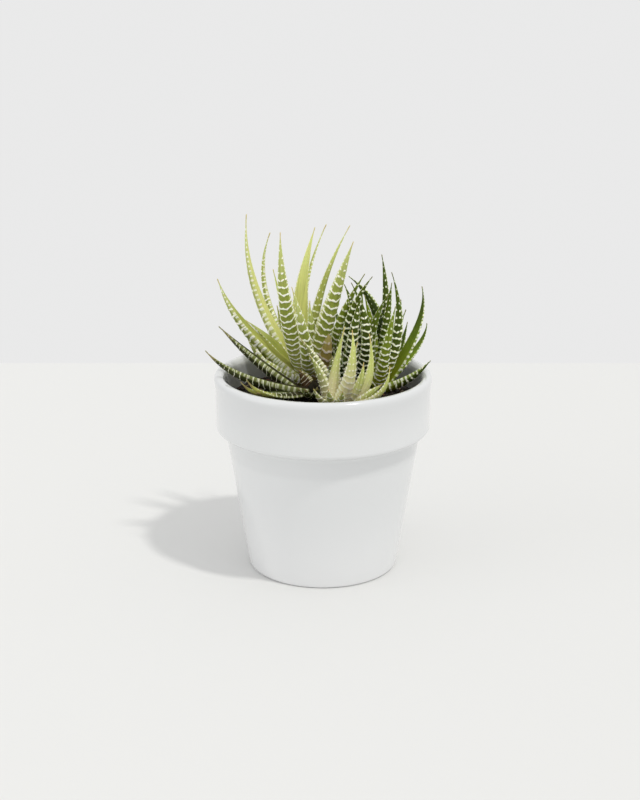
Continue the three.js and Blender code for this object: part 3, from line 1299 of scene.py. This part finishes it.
YELLOW_GREEN = LeafFinish(
    name="yellow_green_leaf",
    root=(0.48, 0.49, 0.14),
    lower=(0.24, 0.28, 0.045),
    lower_high=(0.29, 0.34, 0.06),
    upper=(0.48, 0.50, 0.10),
    upper_high=(0.42, 0.47, 0.09),
    tip=(0.62, 0.50, 0.20),
    band=(0.99, 0.99, 0.84),
    margin=(0.74, 0.78, 0.32),
    bands=Bands(pitch=3.6, line=0.29, soft=0.06, sag=-0.05, break_start=0.5, break_end=0.9),
    root_share=0.30,
    tip_start=0.90,
    fade=0.5,
)
DARK_GREEN = LeafFinish(
    name="dark_green_leaf",
    root=(0.26, 0.29, 0.008),
    lower=(0.068, 0.104, 0.004),
    lower_high=(0.085, 0.126, 0.008),
    upper=(0.22, 0.32, 0.020),
    upper_high=(0.10, 0.15, 0.020),
    pale=(0.42, 0.52, 0.05),
    root_share=0.40,
    tip=(0.30, 0.17, 0.06),
    band=(0.97, 0.99, 0.78),
    margin=(0.46, 0.58, 0.12),
    bands=Bands(pitch=3.2, line=0.32, dot_pitch=2.1, break_start=0.22, break_end=0.85),
    tip_start=0.94,
)
# The middle rosette's near-black root and lower face are painted shade, darkest towards the root where
# its leaves crowd
MIDDLE_GREEN = replace(
    DARK_GREEN,
    name="middle_green_leaf",
    root=(0.016, 0.024, 0.001),
    lower=(0.026, 0.040, 0.001),
    lower_high=(0.10, 0.14, 0.006),
    root_share=0.35,
    bands=Bands(pitch=3.3, dot_pitch=2.1, break_start=0.4, break_end=1.0),
)
CREAM = LeafFinish(
    name="cream_leaf",
    root=(0.76, 0.68, 0.42),
    lower=(0.66, 0.65, 0.30),
    lower_high=(0.55, 0.60, 0.18),
    upper=(0.56, 0.60, 0.18),
    upper_high=(0.48, 0.54, 0.12),
    tip=(0.60, 0.46, 0.18),
    band=(0.95, 0.94, 0.76),
    margin=(0.74, 0.76, 0.42),
    bands=Bands(pitch=2.7, line=0.26, dot_pitch=1.9, break_start=0.45, break_end=1.0),
    dark=(0.045, 0.055, 0.010),
    root_share=0.55,
)
OLIVE = LeafFinish(
    name="olive_leaf",
    root=(0.035, 0.026, 0.013),
    root_share=0.42,
    stained=0.10,
    tooth_paint=0.45,
    dark=(0.022, 0.019, 0.009),
    pale=(0.64, 0.66, 0.16),
    lower=(0.030, 0.038, 0.008),
    lower_high=(0.055, 0.068, 0.014),
    # The near-black upper face is partly the leaf's own dark olive and partly painted shade
    upper=(0.040, 0.052, 0.012),
    upper_high=(0.045, 0.060, 0.014),
    tip=(0.30, 0.25, 0.10),
    band=(0.92, 0.93, 0.72),
    margin=(0.30, 0.34, 0.10),
    bands=Bands(pitch=2.7, line=0.11, soft=0.06, sag=-0.06, dot_pitch=1.9, break_start=0.3),
    tip_start=0.78,
)


# Leaves

DOTTED = Pattern.DOTTED
FAINT = Pattern.FAINT

# The tall yellow-green rosette left of the middle
MAIN_LEAVES = [
    Leaf(202, 51, (-51.7, -8, 152), 13.4, facing=176, hold=0.66, taper=1.5, spacing=1.25, tone=-0.2),
    Leaf(
        161, 39, (-38.4, 20, 179), 10.4, facing=168, rise=2, hold=0.62, taper=1.6, spacing=1.2,
        tone=0.8, pattern=DOTTED,
    ),
    Leaf(130, 54, (-27, 34, 167), 5.8, facing=190, rise=3, hold=0.8, tone=0.4),
    Leaf(240, 34, (-21, -2, 174), 9.8, facing=264, rise=2, taper=2),
    Leaf(118, 50, (-26, 38, 147), 4, rise=3),
    Leaf(274, 50, (-15.5, -8, 148), 7.2, rise=1, hold=0.5),
    Leaf(151, 9, (-4, 28, 171), 11.2, facing=98, rise=4, hold=0.5, taper=1.7, tone=0.7),
    Leaf(100, 37, (2, 41, 170), 5.2, facing=190, rise=3, hold=0.62, taper=2, tone=0.4, pattern=DOTTED),
    Leaf(292, 14, (-7, 8, 136), 6.2, rise=3),
    Leaf(
        78, 10, (14, 33, 171), 5.6, facing=280, rise=2, hold=0.51, taper=1.7, tone=0.5,
        pattern=DOTTED,
    ),
    Leaf(20, 6, (8, 26, 144), 6.4, facing=300, rise=1, hold=0.62),
    Leaf(317, 18, (15, 0, 169), 9.8, facing=286, rise=1, taper=2.3),
    Leaf(2, 24, (6, 19, 141), 5.4, rise=1),
    Leaf(322, 50, (1.6, 6.4, 125.5), 8.6, facing=284, tone=0.3, dry=0.6),
    Leaf(222, 70, (-30.4, 3, 109), 8.6, facing=246, rise=-3, hold=0.6, tone=-0.3),
    Leaf(222, 75, (-41, 9, 126.3), 8, facing=205, rise=-3, hold=0.62, spacing=1.1, tone=-0.35),
    Leaf(190, 36, (-39.5, 9, 127), 9.6, facing=150, hold=0.5, taper=1.6, tone=-0.4, pattern=FAINT),
]

# The dense dark rosette behind the middle
MIDDLE_LEAVES = [
    Leaf(167, 30, (21, 4, 152), 7, facing=250, rise=1, hold=0.41, tone=0.7),
    Leaf(223, 8, (24.5, -3, 152), 5.8, facing=262, rise=1, hold=0.59, tone=-0.3),
    Leaf(296, 17, (10.5, 11, 145), 6, rise=2, hold=0.7, tone=-0.3),
    Leaf(314, 38, (14, 6, 147), 6.2, facing=276, rise=1, hold=0.59, tone=-0.4),
    Leaf(60, 26, (20, 18, 139.5), 4.6, rise=3, tone=0.4),
    Leaf(309, 12, (15.6, 6, 138.6), 5.4, facing=270, rise=2, hold=0.59, tone=-0.3),
    Leaf(120, 14, (6, 22, 131), 5, rise=2),
    Leaf(268, 24, (19, 1, 142), 6.2, rise=2, tone=-0.4),
]

# The dark dotted rosette by the right wall
RIGHT_LEAVES = [
    Leaf(65, 27, (13, 21, 147), 7, facing=250, rise=2, hold=0.68, tone=-0.8, pattern=FAINT),
    Leaf(68, 27, (30, 25, 157.5), 5.4, facing=255, rise=3, hold=0.59, tone=-0.4),
    Leaf(65, 16, (35, 17, 144.5), 5.4, facing=255, rise=3, hold=0.59),
    Leaf(138, 23, (33, 13.4, 139), 6, facing=265, rise=2.4, hold=0.5, tone=0.25),
    Leaf(341, 34, (34, 3, 153), 7.6, facing=268, seat=230, rise=1, hold=0.58, taper=1.6, tone=-0.3),
    Leaf(42, 42, (39.5, 16, 136), 4.8, rise=2),
    Leaf(16, 14, (42, 11, 132), 4.6, rise=2),
    Leaf(281, 30, (36, -3, 137), 5.8, rise=2, tone=0.7),
    Leaf(0, 36, (49.4, 6, 145), 7, facing=40, rise=1, hold=0.73, taper=1.6, tone=-0.35),
    Leaf(25, 55, (53.6, 22, 122), 5, facing=50, rise=1, hold=0.79, taper=1.8),
    Leaf(353, 74, (54.3, 0, 108.2), 8.2, facing=305, rise=0.5, hold=0.58, taper=1.8, tone=-0.45),
    Leaf(95, 22, (21, 14.4, 138.5), 5.2, facing=262, rise=2, hold=0.57, tone=1.2),
]

# The small pale rosette behind the front rim
FRONT_LEAVES = [
    Leaf(97, 44, (-12, -12, 123.6), 8, facing=235, seat=180, rise=1, hold=0.51, tone=-0.75),
    Leaf(
        180, 12, (-6.8, -16, 115.6), 6.4, facing=225, seat=205, rise=1, hold=0.5, tone=-0.6,
        pattern=DOTTED,
    ),
    Leaf(
        141, 2, (10.8, -13, 129.3), 7.4, facing=250, seat=235, rise=1, hold=0.34, taper=1.5,
        tone=-0.12, pattern=FAINT,
    ),
    Leaf(303, 36, (14, -24, 130.4), 8, facing=280, rise=1, hold=0.67, taper=1.5, pattern=DOTTED),
    Leaf(343, 75, (22.7, -14, 126), 7.6, facing=292, rise=1, hold=0.54, taper=1.7, pattern=FAINT),
    Leaf(328, 58, (19.8, -24, 114), 6, facing=290, pattern=DOTTED),
    Leaf(
        337, 89, (32.6, -22, 111.5), 5.6, facing=295, rise=0.6, hold=0.84, taper=1.7,
        tone=-0.1, pattern=DOTTED,
    ),
    Leaf(340, 84, (29.1, -20, 101.6), 7, facing=290, rise=1, hold=0.56, tone=-0.25, pattern=DOTTED),
    Leaf(40, 20, (17, -12, 121), 4.8, rise=2, tone=-0.2),
    Leaf(98, 34, (4.5, -8, 113), 7.6, facing=262, rise=1, tone=-0.9),
]

# The low dark rosette that leans out over the left rim
LEFT_LEAVES = [
    Leaf(172, 58, (-52, -4, 127), 9.4, facing=196, spacing=1.2, tone=-0.6),
    Leaf(
        192, 80, (-58.6, -8, 115.5), 11, facing=240, rise=2.5, hold=0.73, taper=1.3,
        spacing=1.0, tone=-0.35,
    ),
    Leaf(198, 85, (-33.2, -30, 100), 8.2, facing=258, rise=1, hold=0.61),
    Leaf(220, 90, (-40.4, -25, 104.3), 4.6, facing=80, rise=0.4, hold=0.82, tone=2),
    Leaf(225, 90, (-37.6, -25.6, 105.8), 4.6, facing=80, rise=0.4, hold=0.84, tone=2),
    Leaf(125, 26, (-12.6, -1, 103.6), 8, facing=230, rise=2, tone=-0.7, dry=0.25),
]


def rosettes() -> list[Rosette]:
    """The five rosettes, with the low leaves that each one hides.

    Returns:
        The rosettes, numbered in their order, which starts their draws.
    """
    made = [
        Rosette(
            name="main_rosette",
            slot="yellow_green_leaf",
            finish=YELLOW_GREEN,
            stem=(-8, 16),
            stem_radius=4.4,
            crown=97,
            leaves=MAIN_LEAVES,
            hidden=Sector(count=6, start=40, end=150, lean=48, length=42, width=6),
        ),
        Rosette(
            name="middle_rosette",
            slot="dark_green_leaf",
            finish=MIDDLE_GREEN,
            stem=(14, 13),
            stem_radius=4,
            crown=93,
            leaves=MIDDLE_LEAVES,
            hidden=Sector(count=5, start=180, end=330, lean=24, length=30, width=5.6),
        ),
        Rosette(
            name="right_rosette",
            slot="dark_green_leaf",
            finish=DARK_GREEN,
            stem=(28, 7),
            stem_radius=4.2,
            crown=92.5,
            leaves=RIGHT_LEAVES,
            hidden=Sector(count=4, start=45, end=120, lean=46, length=36, width=5.4),
        ),
        Rosette(
            name="front_rosette",
            slot="cream_leaf",
            finish=CREAM,
            stem=(6.6, -19),
            stem_radius=4.8,
            crown=92.5,
            shape=LeafShape(tooth=0.6, relief=0.4),
            leaves=FRONT_LEAVES,
            hidden=Sector(count=3, start=215, end=290, lean=62, length=18, width=5),
        ),
        Rosette(
            name="left_rosette",
            slot="olive_leaf",
            finish=OLIVE,
            stem=(-5, -6),
            stem_radius=3.8,
            crown=92.5,
            leaves=LEFT_LEAVES,
            hidden=Sector(count=3, start=220, end=290, lean=66, length=13, width=4.6),
        ),
    ]
    return [replace(rosette, index=index) for index, rosette in enumerate(made)]


# Studio


@dataclass
class Studio:
    """Camera, a pale floor, a soft sun with a weak fill, and an even pale surround.

    Lengths are in metres, but the sensor's in mm, and turns are in degrees.
    """

    camera_place: Place = (-0.00152, -0.7062, 0.3055)
    camera_pitch: float = 17.18
    focal_pixels: float = 1453.0
    frame_height: float = 800.0
    sensor: float = 36.0
    floor_back: float = 0.379
    floor_half: float = 2.4
    sun_elevation: float = 60.5
    sun_turn: float = -42.0
    sun_angle: float = 4.2
    sun_strength: float = 1.06
    sun_color: Rgb = (1.0, 0.985, 0.95)
    fill_place: Place = (-1.3, -0.5, 0.55)
    fill_size: float = 1.1
    fill_power: float = 2.2
    surround: Rgb = (0.82, 0.82, 0.82)

    def camera(self) -> None:
        """Places the camera."""
        data = bpy.data.cameras.new("camera")
        data.sensor_fit = "VERTICAL"
        data.sensor_height = self.sensor
        data.sensor_width = self.sensor
        data.lens = self.focal_pixels * self.sensor / self.frame_height
        made = entered("camera", data)
        made.location = self.camera_place
        made.rotation_euler = (math.radians(90 - self.camera_pitch), 0, 0)
        bpy.context.scene.camera = made

    def floor(self) -> None:
        """Lays the floor, which ends a little way behind the pot."""
        bm = bmesh.new()
        middle = self.floor_back - self.floor_half
        place = Matrix.Translation((0, middle, 0))
        bmesh.ops.create_grid(bm, x_segments=1, y_segments=1, size=self.floor_half, matrix=place)
        mesh = bpy.data.meshes.new("floor")
        bm.to_mesh(mesh)
        bm.free()
        made = entered("floor", mesh)
        made.data.materials.append(StudioFinish().material())

    def lights(self) -> None:
        """Sets the sun, the fill and the surround."""
        data = bpy.data.lights.new("sun", "SUN")
        data.energy = self.sun_strength
        data.angle = math.radians(self.sun_angle)
        data.color = self.sun_color
        made = entered("sun", data)
        towards = heading(self.sun_turn, 90 - self.sun_elevation)
        made.rotation_euler = towards.to_track_quat("Z", "Y").to_euler()
        data = bpy.data.lights.new("fill", "AREA")
        data.energy = self.fill_power
        data.size = self.fill_size
        made = entered("fill", data)
        made.location = self.fill_place
        made.rotation_euler = Vector(self.fill_place).to_track_quat("Z", "Y").to_euler()
        world = bpy.data.worlds.new("surround")
        world.use_nodes = True
        background = world.node_tree.nodes["Background"]
        background.inputs["Color"].default_value = (*self.surround, 1.0)
        background.inputs["Strength"].default_value = 1.0
        bpy.context.scene.world = world
        bpy.context.scene.view_settings.view_transform = "Standard"

    def build(self) -> None:
        """Sets up the whole studio."""
        self.camera()
        self.floor()
        self.lights()


def main() -> None:
    """Builds the studio and every piece in order, and reports each piece."""
    logging.basicConfig(level=logging.INFO, format="%(message)s")
    Studio().build()
    pot = Pot()
    for part in (pot, Soil(pot), *rosettes()):
        made = part.build()
        LOG.info("%s: %d faces", made.name, len(made.data.polygons))


if __name__ == "__main__":
    main()
